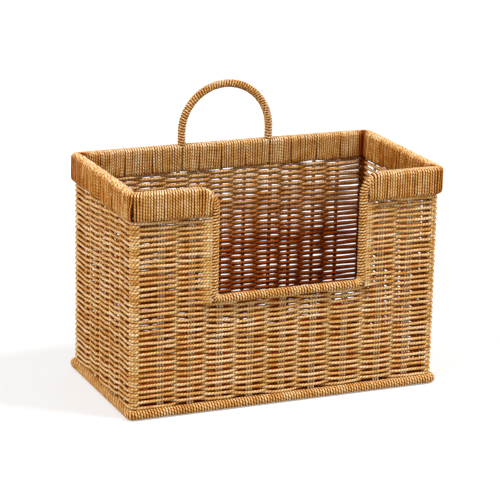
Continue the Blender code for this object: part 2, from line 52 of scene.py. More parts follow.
# Cords
CORD = 0.0024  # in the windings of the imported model
WOUND_CORD = 0.00225  # as it is drawn in a winding, where it is pulled tight
WEFT = 0.00320  # rows of the weave, up and down
WEFT_SQUEEZE = 0.77  # their thickness across the wall, as a share of that
FRONT_THINNER = 0.00026  # the rows of the front are this much thinner
FRONT_EASE = 0.01  # from this far past a front corner
STRAND = 0.0021  # strands of a stake
STRAND_PITCH = 0.0019  # between the strands of a stake
FRONT_STRAND_PITCH = 0.0024  # between those of the stakes under the sill and in the wings
LAY = 0.0058  # one full twist of a cord's two plies
ROW_PITCH = 0.0025  # between rows of the weave
BAND_PITCH = 0.0025  # between turns of the band
TURN_PITCH = 0.00266  # between turns of the other windings
HOLD = 0.0020  # a row keeps its full offset this far past a stake's strands
PRESS = 0.00012  # how far a row presses into a stake's strands

# Fineness of the meshes
CORD_SIDES = 8
SIDE_STEP = 0.0020  # between the rings of a row
CORNER_STEP = 0.0009  # between the rings of a row that turns a corner of the basket
STRAND_STEP = 0.006  # between the rings of a stake's strand, about
ROUTE_STEP = 0.0004  # between the points of a winding's route
TURN_RINGS = 12  # in each turn of a winding
SLEEVE_RINGS = 8
RIB_RINGS = 30
ARC_POINTS = 200  # of the loop's route

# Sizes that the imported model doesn't give by a box
LINE_BEND = 0.0029  # stake line at a corner of the basket
BASE_BEND = 0.0032  # base wire at a corner
SILL_BEND = 0.0062  # rim wire where a jamb meets the sill
CURL_BEND = 0.0155  # winding where the rim turns down into a jamb
CURL_END = 0.0080  # a jamb's winding ends this far past its middle, and the band's turns go on from there
CLEAR = 0.0003  # between two pieces that touch

# Waves in the cane: how many are added, the longest and the shortest
ROW_GROUP_WAVES = (3, 0.16, 0.05)  # rows that stray together
ROW_WAVES = (4, 0.06, 0.015)  # a row that strays by itself
FLOOR_ROW_WAVES = (3, 0.06, 0.02)
STRAND_WAVES = (2, 0.12, 0.05)
LEAN_WAVES = (3, 0.14, 0.05)  # turns of the band that lean together
DROP_WAVES = (4, 0.09, 0.02)  # feet of the band's turns
RADIUS_WAVES = (4, 0.3, 0.04)  # of a winding
SPACING_WAVES = (5, 0.5, 0.06)  # of its turns, as shares of its length
ROW_TONE_WAVES = (3, 0.09, 0.02)  # along a row
WOUND_TONE_WAVES = (4, 0.4, 0.05)  # along a winding's cord

# How far the cane strays by those waves
ROW_GROUP_STRAY = 0.00024
ROW_STRAY = 0.00012
FLOOR_ROW_STRAY = 0.00010
STRAND_STRAY = 0.00014
LEAN_STRAY = 0.0006
DROP_STRAY = 0.0005
RADIUS_STRAY = 0.02  # as a share of the radius

# Tones of the cane: 0 is plain, and a higher one is paler. Some are painted light and shade, where so
# marked.
ROW_TONE = 0.35  # from row to row
FLOOR_ROW_TONE = 0.5
ALONG_TONE = 0.4  # along a row
STRAND_TONE = 0.8  # from strand to strand
# painted shade on the stakes at the corners, which stand inside the turning rows
CORNER_STAKE_PAINTED_SHADE = -2.4
RIB_TONES = (-0.8, 0.4)  # darkest and palest rib of the floor
WOUND_TONE = 0.3  # from turn to turn
WOUND_ALONG_TONE = 0.2
SIDE_BAND_TONES_AND_SHADE = (0.8, -0.8)  # from turn to turn, and the middle, which is darker than that of the front and back as painted shade on the sides
BAND_TONES = (0.5, 0.0)
BAND_FOOT_PAINTED_SHADE = -0.4  # painted shade: the band is darker than its middle tone at its foot
BAND_TOP_PAINTED_LIGHT = 1.5  # painted light: the band's tone at its top, whatever its middle tone


def middle(node):
    low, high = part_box(node)
    return (low + high) / 2


def thickness(node):
    low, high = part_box(node)
    return min(high - low)


WIRE = thickness("band_wire")
BASE_WIRE = thickness("base_wire")
LOOP_ROD = thickness("loop_rod")
WIRE_TURN = WIRE / 2 + CLEAR + CORD / 2  # radius of a winding's middle round a wire
BASE_TURN = BASE_WIRE / 2 + CLEAR + CORD / 2
LOOP_TURN = LOOP_ROD / 2 + CLEAR + CORD / 2

LINE_X = middle("right_stake_1").x
LINE_Y = middle("back_stake_1").y
RIM_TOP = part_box("band_winding_back")[1].z
BAND_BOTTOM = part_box("band_winding_back")[0].z
WIRE_Y = -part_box("rim_wire")[0].y - WIRE / 2
WIRE_OUT = WIRE_Y - LINE_Y
RIM_WIRE_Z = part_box("rim_wire")[1].z - WIRE / 2
BAND_WIRE_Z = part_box("band_wire")[1].z - WIRE / 2
SILL_WIRE_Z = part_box("rim_wire")[0].z + WIRE / 2
BASE_WIRE_Z = middle("base_wire").z
BASE_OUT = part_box("base_wire")[1].x - BASE_WIRE / 2 - LINE_X
JAMB_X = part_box("sill_winding")[1].x + SILL_BEND + CLEAR
WEAVE_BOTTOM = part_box("woven_back")[0].z
WEAVE_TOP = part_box("woven_back")[1].z
FRONT_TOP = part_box("woven_front")[1].z
LEG_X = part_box("loop_rod")[1].x - LOOP_ROD / 2
LOOP_TOP_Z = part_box("loop_rod")[1].z - LOOP_ROD / 2
FLOOR_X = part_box("woven_floor")[1].x
FLOOR_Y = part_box("woven_floor")[1].y

STAKES = {name: middle(name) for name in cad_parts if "_stake" in name}


def unit(vectors):
    return vectors / np.linalg.norm(vectors, axis=-1, keepdims=True)


def dot(a, b):
    return np.sum(a * b, axis=-1, keepdims=True)


def waves(count, longest, shortest):
    """A smooth wandering function of a length, from -1 to 1 for the most part."""
    lengths = chance.uniform(shortest, longest, count)
    phases = chance.uniform(0, 2 * pi, count)
    return lambda s: sum(np.sin(2 * pi * s / lengths[k] + phases[k]) for k in range(count)) / np.sqrt(count)


class Plan:
    """A rectangle with rounded corners, seen from above. It starts at its front left and runs to the
    right."""

    def __init__(self, half_x, half_y, bend):
        self.bend = bend
        self.straight_x, self.straight_y = half_x - bend, half_y - bend
        arc = bend * pi / 2
        runs = [2 * self.straight_x, arc, 2 * self.straight_y, arc] * 2
        self.starts = np.concatenate([[0], np.cumsum(runs)])
        self.length = self.starts[-1]

    def place(self, along):
        """Points and outward normals in plan at distances along the line."""
        along = np.mod(np.asarray(along, float), self.length)
        run = np.clip(np.searchsorted(self.starts, along, "right") - 1, 0, 7)
        past = along - self.starts[run]
        quarter = run // 2
        turned = np.where(run % 2, past / self.bend, 0)
        heading = quarter * pi / 2 + turned
        out = np.stack([np.sin(heading), -np.cos(heading)], -1)
        corner_x = np.array([1, 1, -1, -1])[quarter] * self.straight_x
        corner_y = np.array([-1, 1, 1, -1])[quarter] * self.straight_y
        corner = np.stack([corner_x, corner_y], -1)
        back = np.where(run % 2, 0, self.starts[run + 1] - along)
        ahead = np.stack([np.cos(heading), np.sin(heading)], -1)
        points = corner + out * self.bend - ahead * back[..., None]
        return points, out

    def station(self, x, y):
        """The distance along the line that is nearest to a place."""
        along = np.linspace(0, self.length, 9000, endpoint=False)
        points, _ = self.place(along)
        return along[np.argmin(np.hypot(points[:, 0] - x, points[:, 1] - y))]

    def stations(self, begin, end, step, corner_step):
        """Distances from begin to end, closer together in the corners."""
        marks = [begin]
        for lap in (0, self.length):
            marks += [s + lap for s in self.starts if begin < s + lap < end]
        marks.append(end)
        marks = sorted(set(np.round(marks, 9)))
        found = [np.array([marks[0]])]
        for a, b in zip(marks[:-1], marks[1:]):
            middle_run = np.searchsorted(self.starts, np.mod((a + b) / 2, self.length), "right") - 1
            gap = corner_step if middle_run % 2 else step
            found.append(np.linspace(a, b, max(2, int(np.ceil((b - a) / gap)) + 1))[1:])
        return np.concatenate(found)


STAKE_LINE = Plan(LINE_X, LINE_Y, LINE_BEND)


class Cords:
    """Twisted cords that are gathered into one mesh, with a map of the length and girth of each."""

    def __init__(self):
        self.points, self.quads, self.maps, self.tones = [], [], [], []
        self.count = 0

    def add(self, points, out, thickness, tone=0.0, flat=1.0):
        """A cord through points; out is a side of it at each point, and flat its squeeze along out."""
        tangent = unit(np.gradient(points, axis=0))
        first = unit(out - tangent * dot(out, tangent))
        second = np.cross(tangent, first)
        self.add_rings(points, first, second, thickness, tone, 0.0, flat)

    def add_rings(self, points, first, second, thickness, tone, start, flat):
        """A cord whose two sides are given at each point. Start is the length that its map begins at,
        and the length that it ends at comes back."""
        rings = len(points)
        angles = 2 * pi * np.arange(CORD_SIDES) / CORD_SIDES
        radius = np.broadcast_to(np.asarray(thickness, float) / 2, (rings,))[:, None, None]
        around = first[:, None, :] * (np.cos(angles) * flat)[None, :, None]
        around = around + second[:, None, :] * np.sin(angles)[None, :, None]
        skin = points[:, None, :] + around * radius
        along = start + np.concatenate([[0], np.cumsum(np.linalg.norm(np.diff(points, axis=0), axis=1))])
        ring, side = np.meshgrid(np.arange(rings - 1), np.arange(CORD_SIDES), indexing="ij")
        after = (side + 1) % CORD_SIDES
        here, there = ring * CORD_SIDES, (ring + 1) * CORD_SIDES
        quads = np.stack([here + side, here + after, there + after, there + side], -1).reshape(-1, 4)
        u = np.stack([along[ring], along[ring], along[ring + 1], along[ring + 1]], -1) / LAY
        v = np.stack([side, side + 1, side + 1, side], -1) / CORD_SIDES
        self.points.append(skin.reshape(-1, 3))
        self.quads.append(quads + self.count)
        self.maps.append(np.stack([u, v], -1).reshape(-1, 2))
        self.tones.append(np.repeat(np.broadcast_to(tone, (rings,)), CORD_SIDES))
        self.count += rings * CORD_SIDES
        return along[-1]

    def make(self, name, material, slot, *nodes):
        """The mesh object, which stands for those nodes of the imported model."""
        points = np.concatenate(self.points)
        quads = np.concatenate(self.quads)
        mesh = bpy.data.meshes.new(name)
        mesh.vertices.add(len(points))
        mesh.vertices.foreach_set("co", points.astype(np.float32).ravel())
        mesh.loops.add(quads.size)
        mesh.loops.foreach_set("vertex_index", quads.astype(np.int32).ravel())
        mesh.polygons.add(len(quads))
        mesh.polygons.foreach_set("loop_start", np.arange(0, quads.size, 4, dtype=np.int32))
        mesh.polygons.foreach_set("use_smooth", np.ones(len(quads), bool))
        mesh.update(calc_edges=True)
        layer = mesh.uv_layers.new(name="Cord")
        layer.data.foreach_set("uv", np.concatenate(self.maps).astype(np.float32).ravel())
        tone = mesh.attributes.new("tone", "FLOAT", "POINT")
        tone.data.foreach_set("value", np.concatenate(self.tones).astype(np.float32))
        mesh.materials.append(material)
        mesh.validate()
        piece = bpy.data.objects.new(name, mesh)
        bpy.context.scene.collection.objects.link(piece)
        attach(piece, "root")
        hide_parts(*nodes)


# Materials


class Nodes:
    """Short ways to make the nodes of a material."""

    def __init__(self, name):
        self.material = bpy.data.materials.new(name)
        self.material.use_nodes = True
        self.tree = self.material.node_tree
        self.shader = self.tree.nodes["Principled BSDF"]

    def add(self, kind, **settings):
        node = self.tree.nodes.new(kind)
        for key, value in settings.items():
            setattr(node, key, value)
        return node

    def link(self, source, target):
        if isinstance(source, (int, float)):
            target.default_value = source
        else:
            self.tree.links.new(source, target)

    def math(self, operation, a, b=0.0, c=0.0):
        node = self.add("ShaderNodeMath", operation=operation)
        for k, value in enumerate((a, b, c)):
            self.link(value, node.inputs[k])
        return node.outputs[0]

    def spread(self, value, low, high, to_low, to_high):
        node = self.add("ShaderNodeMapRange")
        for k, number in enumerate((value, low, high, to_low, to_high)):
            self.link(number, node.inputs[k])
        return node.outputs[0]

    def noise(self, vector, scale, detail=2.0, roughness=0.5):
        node = self.add("ShaderNodeTexNoise")
        self.link(vector, node.inputs["Vector"])
        node.inputs["Scale"].default_value = scale
        node.inputs["Detail"].default_value = detail
        node.inputs["Roughness"].default_value = roughness
        return node.outputs["Fac"]

    def multiply(self, a, b):
        node = self.add("ShaderNodeMix", data_type="RGBA", blend_type="MULTIPLY")
        node.inputs["Factor"].default_value = 1.0
        self.link(a, node.inputs["A"])
        self.link(b, node.inputs["B"])
        return node.outputs["Result"]

    def ramp(self, value, stops):
        node = self.add("ShaderNodeValToRGB")
        self.link(value, node.inputs["Fac"])
        elements = node.color_ramp.elements
        while len(elements) < len(stops):
            elements.new(0.5)
        for element, (place, colour) in zip(elements, stops):
            element.position = place
            element.color = (*colour, 1)
        return node.outputs["Color"]


# Painted shade inside the basket: the cane is darkened low down along the walls, and most in its inner
# corners
INSIDE_BEGIN = -0.0010  # inward of the stake line, where the painted shade of the inside begins
INSIDE_FULL = 0.0012  # and where it is full
LOW_Z = 0.110  # from here down the painted shade of the inside is as dark as it gets along a wall
LOW_PAINTED_SHADE = 0.7
CORNER_BEGIN = 0.012  # this close to two walls the painted shade of the inside starts to darken further
CORNER_FULL = 0.004


def painted_inside_shade(n):
    """How much painted shade a place gets inside the basket: 0 outside and near the rim, a share below 1
    low down inside it, and 1 in its corners."""
    parts = n.add("ShaderNodeSeparateXYZ")
    n.link(n.add("ShaderNodeTexCoord").outputs["Object"], parts.inputs[0])
    from_side = n.math("SUBTRACT", LINE_X, n.math("ABSOLUTE", parts.outputs["X"]))
    from_back = n.math("SUBTRACT", LINE_Y, n.math("ABSOLUTE", parts.outputs["Y"]))
    from_floor = n.math("SUBTRACT", parts.outputs["Z"], BASE_WIRE_Z)
    inward = n.math("MINIMUM", n.math("MINIMUM", from_side, from_back), from_floor)
    within = n.spread(inward, INSIDE_BEGIN, INSIDE_FULL, 0.0, 1.0)
    deep = n.spread(parts.outputs["Z"], WEAVE_TOP, LOW_Z, 0.0, LOW_PAINTED_SHADE)
    cornered = n.spread(n.math("MAXIMUM", from_side, from_back), CORNER_BEGIN, CORNER_FULL, 0.0, 1.0)
    return n.math("MULTIPLY", within, n.math("MAXIMUM", deep, cornered))


FIBRES = 5.0  # across a ply
FIBRE_STRETCH = 0.9  # a lower one makes longer fibres
FIBRE_SLIDE = 7.0  # from tone to tone
PATCH_SCALE = 130.0  # small patches of colour
WIDE_SCALE = 22.0  # and wide ones
BUMP_DEPTH = 0.00034


def cane(name, paler=0.0, half_lit=0.50, lit=0.86):
    """Two plies of twisted cane paper: fine fibres along each ply, and painted shade, dark red-brown, in
    the grooves between them. Paler moves the colour up. Half_lit and lit say how far round a cord the shade
    of its neighbours reaches. The colour is also darkened low inside the basket and in its inner corners,
    as painted shade."""
    n = Nodes(name)
    uv = n.add("ShaderNodeUVMap", uv_map="Cord")
    parts = n.add("ShaderNodeSeparateXYZ")
    n.link(uv.outputs["UV"], parts.inputs[0])
    along, around = parts.outputs["X"], parts.outputs["Y"]
    tone = n.add("ShaderNodeAttribute", attribute_name="tone").outputs["Fac"]

    # Across a ply: 0 in both grooves and 1 on its crown
    ply = n.math("MULTIPLY", n.math("ADD", along, around), 2.0)
    across = n.math("FRACT", ply)
    centred = n.math("MULTIPLY_ADD", across, 2.0, -1.0)
    crown = n.math("SQRT", n.math("SUBTRACT", 1.0, n.math("MULTIPLY", centred, centred)))

    # Round the cord: 1 on the side that faces out or in, and 0 where it meets the next cord
    facing = n.math("ABSOLUTE", n.math("COSINE", n.math("MULTIPLY", around, 2 * pi)))

    # Fibres run along the ply, and slide from cord to cord with its tone
    where = n.add("ShaderNodeCombineXYZ")
    n.link(n.math("MULTIPLY", ply, FIBRES), where.inputs[0])
    n.link(n.math("MULTIPLY", along, FIBRE_STRETCH), where.inputs[1])
    n.link(n.math("MULTIPLY", tone, FIBRE_SLIDE), where.inputs[2])
    fibre = n.noise(where.outputs[0], 1.0, 3.0, 0.6)
    place = n.add("ShaderNodeTexCoord").outputs["Object"]
    patch = n.noise(place, PATCH_SCALE, 2.0)
    wide = n.noise(place, WIDE_SCALE, 1.0)

    light = n.math("MULTIPLY_ADD", fibre, 1.00, -0.065)
    light = n.math("ADD", light, n.math("MULTIPLY", tone, 0.14))
    light = n.math("ADD", light, n.math("MULTIPLY_ADD", patch, 0.36, -0.18))
    light = n.math("ADD", light, n.math("MULTIPLY_ADD", wide, 0.16, -0.08))
    light = n.math("ADD", light, paler)
    surface = n.ramp(
        light,
        [
            (0.0, (0.320, 0.095, 0.008)),
            (0.25, (0.555, 0.265, 0.047)),
            (0.45, (0.810, 0.585, 0.250)),
            (0.68, (0.960, 0.900, 0.760)),
        ],
    )
    # Painted shade in the grooves between the plies, lightest on a ply's crown
    groove_shade = n.ramp(crown, [(0.20, (0.46, 0.14, 0.010)), (0.68, (0.85, 0.63, 0.34)), (0.98, (1, 1, 1))])
    shade = n.ramp(facing, [(0.05, (0.34, 0.050, 0.001)), (half_lit, (0.73, 0.42, 0.12)), (lit, (1, 1, 1))])
    colour = n.multiply(n.multiply(surface, groove_shade), shade)
    # Painted shade: darker low inside the basket, and darkest in its inner corners
    low, corner = (0.52, 0.18, 0.03), (0.20, 0.09, 0.03)
    inside = n.ramp(painted_inside_shade(n), [(0.0, (1, 1, 1)), (LOW_PAINTED_SHADE, low), (1.0, corner)])
    colour = n.multiply(colour, inside)
    n.link(colour, n.shader.inputs["Base Color"])
    n.link(n.spread(fibre, 0.2, 0.8, 0.56, 0.38), n.shader.inputs["Roughness"])
    n.shader.inputs["Specular IOR Level"].default_value = 0.05

    height = n.math("MULTIPLY_ADD", fibre, 0.16, crown)
    bump = n.add("ShaderNodeBump")
    bump.inputs["Strength"].default_value = 1.0
    bump.inputs["Distance"].default_value = BUMP_DEPTH
    n.link(height, bump.inputs["Height"])
    n.link(bump.outputs["Normal"], n.shader.inputs["Normal"])
    return n.material


def wire_metal():
    """Steel wire, dark and stained from drawing."""
    n = Nodes("wire_metal")
    place = n.add("ShaderNodeTexCoord").outputs["Object"]
    stain = n.noise(place, 90.0, 4.0, 0.6)
    colour = n.ramp(stain, [(0.3, (0.06, 0.04, 0.03)), (0.7, (0.17, 0.13, 0.10))])
    n.link(colour, n.shader.inputs["Base Color"])
    n.shader.inputs["Metallic"].default_value = 0.7
    n.link(n.spread(stain, 0.3, 0.7, 0.7, 0.45), n.shader.inputs["Roughness"])
    return n.material


FLOOR_GREY = 0.55
FLOOR_GLOW = 0.42


def floor_white():
    """A grey floor whose glow makes it white to the camera, with a faint shadow of the basket."""
    n = Nodes("floor_white")
    n.shader.inputs["Base Color"].default_value = (FLOOR_GREY, FLOOR_GREY, FLOOR_GREY, 1)
    n.shader.inputs["Roughness"].default_value = 0.9
    n.shader.inputs["Specular IOR Level"].default_value = 0.0
    path = n.add("ShaderNodeLightPath")
    seen = n.math("MAXIMUM", path.outputs["Is Camera Ray"], path.outputs["Is Glossy Ray"])
    seen = n.math("MAXIMUM", seen, path.outputs["Is Transmission Ray"])
    n.shader.inputs["Emission Color"].default_value = (1, 1, 1, 1)
    n.link(n.math("MULTIPLY", seen, FLOOR_GLOW), n.shader.inputs["Emission Strength"])
    return n.material


CANE = cane("cane_cord")
CANE_WOUND = cane("cane_wound", half_lit=0.68, lit=0.97)
# The stakes' cane is paler, as painted light where they stand in the shade between the rows
CANE_STAKE = cane("cane_stake", paler=0.12, half_lit=0.35, lit=0.70)
STEEL = wire_metal()


# The weave


def strand_count(name):
    """Front stakes are three strands wide, and the others two."""
    return 3 if name.startswith(("sill", "wing")) else 2


def strand_pitch(name):
    """Between the middles of a stake's strands."""
    return FRONT_STRAND_PITCH if name.startswith(("sill", "wing")) else STRAND_PITCH


ordered = sorted((STAKE_LINE.station(place.x, place.y), name) for name, place in STAKES.items())
KNOTS = np.array([along for along, _ in ordered])
AT_CORNER = np.array([name.startswith("corner") for _, name in ordered])
CORNER_HOLD = 0.0023  # a row keeps its offset this far from the middle of a corner
SETTLE = 0.0036  # and from there it reaches the side of the next stake over this length

# From the middle of each stake to where a row starts to cross over
WIDTHS = np.array([strand_count(name) * strand_pitch(name) / 2 + HOLD for _, name in ordered])
WIDTHS[AT_CORNER] = CORNER_HOLD

OFFSET = (STRAND + WEFT * WEFT_SQUEEZE) / 2 - PRESS
CORNER_OUTSIDE = 0.55  # rows that pass inside a corner stake still bulge by this share of the offset
CORNER_SET_IN = 0.0012  # the corner stakes stand inside the turning rows

# Where the rows under the sill sag: the place along the front and up, the reach each way, and how far
SAGS = (
    (-0.052, 0.086, 0.017, 0.012, 0.0016),
    (-0.012, 0.088, 0.014, 0.010, 0.0010),
    (0.024, 0.084, 0.012, 0.012, -0.0007),
    (0.052, 0.088, 0.012, 0.012, 0.0009),
)

GROUPS = 3  # sets of waves by which neighbouring rows stray together
CLIMB = 9  # the most that such a set slides along the walls for each unit of height
CLIMB_FROM = 0.1  # the height that it slides from
bunching = [waves(*ROW_GROUP_WAVES) for _ in range(GROUPS)]
climbing = [chance.uniform(-CLIMB, CLIMB) for _ in range(GROUPS)]


def row_wander(along, height):
    """How far the rows stray up or down at a place: neighbours stray together."""
    climbed = height - CLIMB_FROM
    stray = sum(wave(along + climb * climbed) for wave, climb in zip(bunching, climbing))
    sag = sum(
        deep * np.exp(-(((along - STAKE_LINE.straight_x - x) / wide) ** 2) - ((height - z) / tall) ** 2)
        for x, z, wide, tall, deep in SAGS
    )
    return ROW_GROUP_STRAY * stray - sag


def weft_thickness(along):
    """The rows' height at distances along the stake line: they are thinner across the front."""
    along = np.mod(along, STAKE_LINE.length)
    past = np.minimum(along, STAKE_LINE.starts[1] - along)
    return WEFT - FRONT_THINNER * np.clip(past / FRONT_EASE, 0, 1)


def row_offset(along, row):
    """Offset of a row from the stake line: full at each stake, on alternate sides."""
    lap = STAKE_LINE.length
    knots = np.concatenate([[KNOTS[-1] - lap], KNOTS, [KNOTS[0] + lap]])
    widths = np.concatenate([[WIDTHS[-1]], WIDTHS, [WIDTHS[0]]])
    corners = np.concatenate([[AT_CORNER[-1]], AT_CORNER, [AT_CORNER[0]]])
    signs = np.where((np.arange(len(knots)) + row) % 2, 1.0, np.where(corners, CORNER_OUTSIDE, -1.0))
    along = np.mod(along, lap)
    left = np.clip(np.searchsorted(knots, along, "right") - 1, 0, len(knots) - 2)
    begin = knots[left] + widths[left]
    end = knots[left + 1] - widths[left + 1]
    end = np.where(corners[left], np.minimum(end, begin + SETTLE), end)
    begin = np.where(corners[left + 1], np.maximum(begin, end - SETTLE), begin)
    share = np.clip((along - begin) / (end - begin), 0, 1)
    blend = (1 - np.cos(pi * share)) / 2
    return OFFSET * (signs[left] * (1 - blend) + signs[left + 1] * blend)


ROW_TUCK = 0.0028  # how far from the middle of a jamb a row ends, inside its winding
ROW_END_EASE = 0.011  # over which it goes out to the jamb
ROW_END_OUT = 0.0010  # and ends this far outside the middle of the jamb's wire
ROUNDING = 1e-7  # two lengths this close are the same


def weave_walls():
    """All rows: closed ones under the sill, and above it ones that turn back at the jambs."""
    front = 2 * STAKE_LINE.straight_x
    right_end = STAKE_LINE.starts[4]
    back_end = STAKE_LINE.starts[5]
    lap = STAKE_LINE.length
    jamb_right = STAKE_LINE.station(JAMB_X, -LINE_Y)
    jamb_left = STAKE_LINE.station(-JAMB_X, -LINE_Y) + lap
    closed = [
        ("front", 0, front),
        ("right", front, right_end),
        ("back", right_end, back_end),
        ("left", back_end, lap),
    ]
    opened = [
        ("wing_right", jamb_right + ROW_TUCK, front),
        *closed[1:],
        ("wing_left", lap, jamb_left - ROW_TUCK),
    ]
    walls = {name: Cords() for name, _, _ in closed + opened}

    count = int(round((WEAVE_TOP - WEAVE_BOTTOM) / ROW_PITCH))
    pitch = (WEAVE_TOP - WEAVE_BOTTOM) / count
    for row in range(count):
        height = WEAVE_BOTTOM + pitch * (row + 0.5)
        parts = closed if height < FRONT_TOP else opened
        begin, end = parts[0][1], parts[-1][2]
        along = STAKE_LINE.stations(begin, end, SIDE_STEP, CORNER_STEP)
        plan, out = STAKE_LINE.place(along)
        offset = row_offset(along, row)
        own = waves(*ROW_WAVES)(along)
        z = height + row_wander(along, height) + ROW_STRAY * own
        if parts is opened:
            near = np.minimum(along - begin, end - along)
            blend = np.clip(near / ROW_END_EASE, 0, 1) ** 2
            offset = offset * blend + (1 - blend) * (WIRE_OUT + ROW_END_OUT)
        xy = plan + out * offset[:, None]
        points = np.column_stack([xy, z])
        normal = np.column_stack([out, np.zeros(len(out))])
        tangent = np.gradient(points, axis=0)
        if parts is closed:
            tangent[0] = tangent[-1] = points[1] - points[-2]
        tangent = unit(tangent)
        first = unit(normal - tangent * dot(normal, tangent))
        second = np.cross(tangent, first)
        shade = chance.uniform(-1, 1)
        tone = ROW_TONE * shade + ALONG_TONE * waves(*ROW_TONE_WAVES)(along)
        thick = weft_thickness(along)
        length = 0.0
        for name, a, b in parts:
            pick = (along >= a - ROUNDING) & (along <= b + ROUNDING)
            rings = (points[pick], first[pick], second[pick], thick[pick], tone[pick])
            length = walls[name].add_rings(*rings, length, WEFT_SQUEEZE)
    for name, cords in walls.items():
        cords.make(f"weave_{name}", CANE, "cane_cord", f"woven_{name}")


STRAND_FOOT = 0.0012  # the strands go on this far below a stake's box
STRAND_TOP = 0.0016  # and end this far below its top


def stake_strands():
    """Each stake as a few straight strands side by side, and a sleeve of cord on each leg of the loop."""
    groups = {}
    for name, place in STAKES.items():
        group = name.split("_stake")[0]
        groups.setdefault(group, (Cords(), []))
        cords, nodes = groups[group]
        nodes.append(name)
        low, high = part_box(name)
        count = strand_count(name)
        middle_along = STAKE_LINE.station(place.x, place.y)
        z = np.linspace(low.z - STRAND_FOOT, high.z - STRAND_TOP, int((high.z - low.z) / STRAND_STEP))
        for k in range(count):
            shift = (k - (count - 1) / 2) * strand_pitch(name)
            sway = STRAND_STRAY * waves(*STRAND_WAVES)(z)
            plan, out = STAKE_LINE.place(middle_along + shift + sway)
            if group == "corner":
                plan = plan - out * CORNER_SET_IN
            points = np.column_stack([plan, z])
            normal = np.column_stack([out, np.zeros(len(z))])
            # Painted shade: the corner stakes are darkened, as they stand in the inner corners
            painted_shading = CORNER_STAKE_PAINTED_SHADE if group == "corner" else 0
            cords.add(points, normal, STRAND, tone=painted_shading + chance.uniform(-STRAND_TONE, STRAND_TONE))
    sleeves = groups["back"][0]
    for x in (-LEG_X, LEG_X):
        z = np.linspace(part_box("loop_rod")[0].z - CLEAR, RIM_TOP - CORD, SLEEVE_RINGS)
        points = np.column_stack([np.full(SLEEVE_RINGS, x), np.full(SLEEVE_RINGS, LINE_Y), z])
        backward = np.tile([0.0, 1.0, 0.0], (SLEEVE_RINGS, 1))
        sleeves.add(points, backward, LOOP_ROD + 2 * CLEAR)
    for group, (cords, nodes) in groups.items():
        cords.make(f"stakes_{group}", CANE_STAKE, "cane_stake", *nodes)


FLOOR_LAP = 0.0005  # the floor's cords go on this far past its edge, inside the base winding
FLOOR_EASE = 0.008  # over which its rows come level towards the edge
FLOOR_SHIFT = 0.3  # along the waves of the walls' rows, so that the floor strays in its own way


def floor_weave():
    """The floor: rows along the length, over and under ribs that run from front to back."""
    ribs = sorted(place.x for name, place in STAKES.items() if name.startswith("back"))
    knots = np.array([-LINE_X] + ribs + [LINE_X])
    half = STRAND_PITCH + HOLD  # from the middle of a rib to where a row starts to cross over
    rows = int(round(2 * FLOOR_Y / ROW_PITCH))
    pitch = 2 * FLOOR_Y / rows
    cords = Cords()
    for row in range(rows):
        y = -FLOOR_Y + pitch * (row + 0.5)
        x = np.arange(-FLOOR_X - FLOOR_LAP, FLOOR_X + FLOOR_LAP, SIDE_STEP)
        left = np.clip(np.searchsorted(knots, x, "right") - 1, 0, len(knots) - 2)
        signs = np.where((np.arange(len(knots)) + row) % 2, 1.0, -1.0)
        begin, end = knots[left] + half, knots[left + 1] - half
        share = np.clip((x - begin) / (end - begin), 0, 1)
        blend = (1 - np.cos(pi * share)) / 2
        lift = OFFSET * (signs[left] * (1 - blend) + signs[left + 1] * blend)
        fade = np.clip((FLOOR_X + FLOOR_LAP - np.abs(x)) / FLOOR_EASE, 0, 1)
        lift = lift * fade
        drift = row_wander(x + FLOOR_SHIFT, y) + FLOOR_ROW_STRAY * waves(*FLOOR_ROW_WAVES)(x)
        points = np.column_stack([x, y + drift, BASE_WIRE_Z + lift])
        up = np.tile([0.0, 0.0, 1.0], (len(x), 1))
        tone = FLOOR_ROW_TONE * chance.uniform(-1, 1) + ALONG_TONE * waves(*ROW_TONE_WAVES)(x)
        cords.add(points, up, WEFT, tone=tone, flat=WEFT_SQUEEZE)
    y = np.linspace(-FLOOR_Y - FLOOR_LAP, FLOOR_Y + FLOOR_LAP, RIB_RINGS)
    up = np.tile([0.0, 0.0, 1.0], (RIB_RINGS, 1))
    for x in ribs:
        for k in (-0.5, 0.5):
            strand_x = np.full(RIB_RINGS, x + k * STRAND_PITCH)
            points = np.column_stack([strand_x, y, np.full(RIB_RINGS, BASE_WIRE_Z)])
            cords.add(points, up, STRAND, tone=chance.uniform(*RIB_TONES))
    cords.make("weave_floor", CANE, "cane_cord", "woven_floor")


# The windings


def filleted(corners, bends):
    """Points along a line through corners, rounded off at the inner ones, ROUTE_STEP apart."""
    corners = [np.array(c, float) for c in corners]
    found = [corners[0]]
    for k in range(1, len(corners) - 1):
        here = corners[k]
        back, ahead = unit(corners[k - 1] - here), unit(corners[k + 1] - here)
        angle = np.arccos(np.clip(np.dot(back, ahead), -1, 1))
        bend = bends[k - 1]
        cut = bend / np.tan(angle / 2)
        centre = here + unit(back + ahead) * bend / np.sin(angle / 2)
        a, b = here + back * cut - centre, here + ahead * cut - centre
        turn = pi - angle
        for share in np.linspace(0, 1, max(3, int(turn * bend / ROUTE_STEP))):
            weight_a = np.sin((1 - share) * turn) / np.sin(turn)
            weight_b = np.sin(share * turn) / np.sin(turn)
            found.append(centre + a * weight_a + b * weight_b)
    found.append(corners[-1])
    return resampled(np.array(found))


def resampled(points):
    """The same line with its points evenly spread, about ROUTE_STEP apart."""
    length = np.concatenate([[0], np.cumsum(np.linalg.norm(np.diff(points, axis=0), axis=1))])
    even = np.linspace(0, length[-1], int(length[-1] / ROUTE_STEP) + 1)
    return np.column_stack([np.interp(even, length, points[:, k]) for k in range(3)])


RADIUS_WAVE_ANGLE = 60  # radians round a winding for each unit of RADIUS_WAVES
END_PARTS = 20  # unevenness grows over one part of this many, at each end of a winding
WOUND_TONE_STEP = 0.002  # between two rings along WOUND_TONE_WAVES


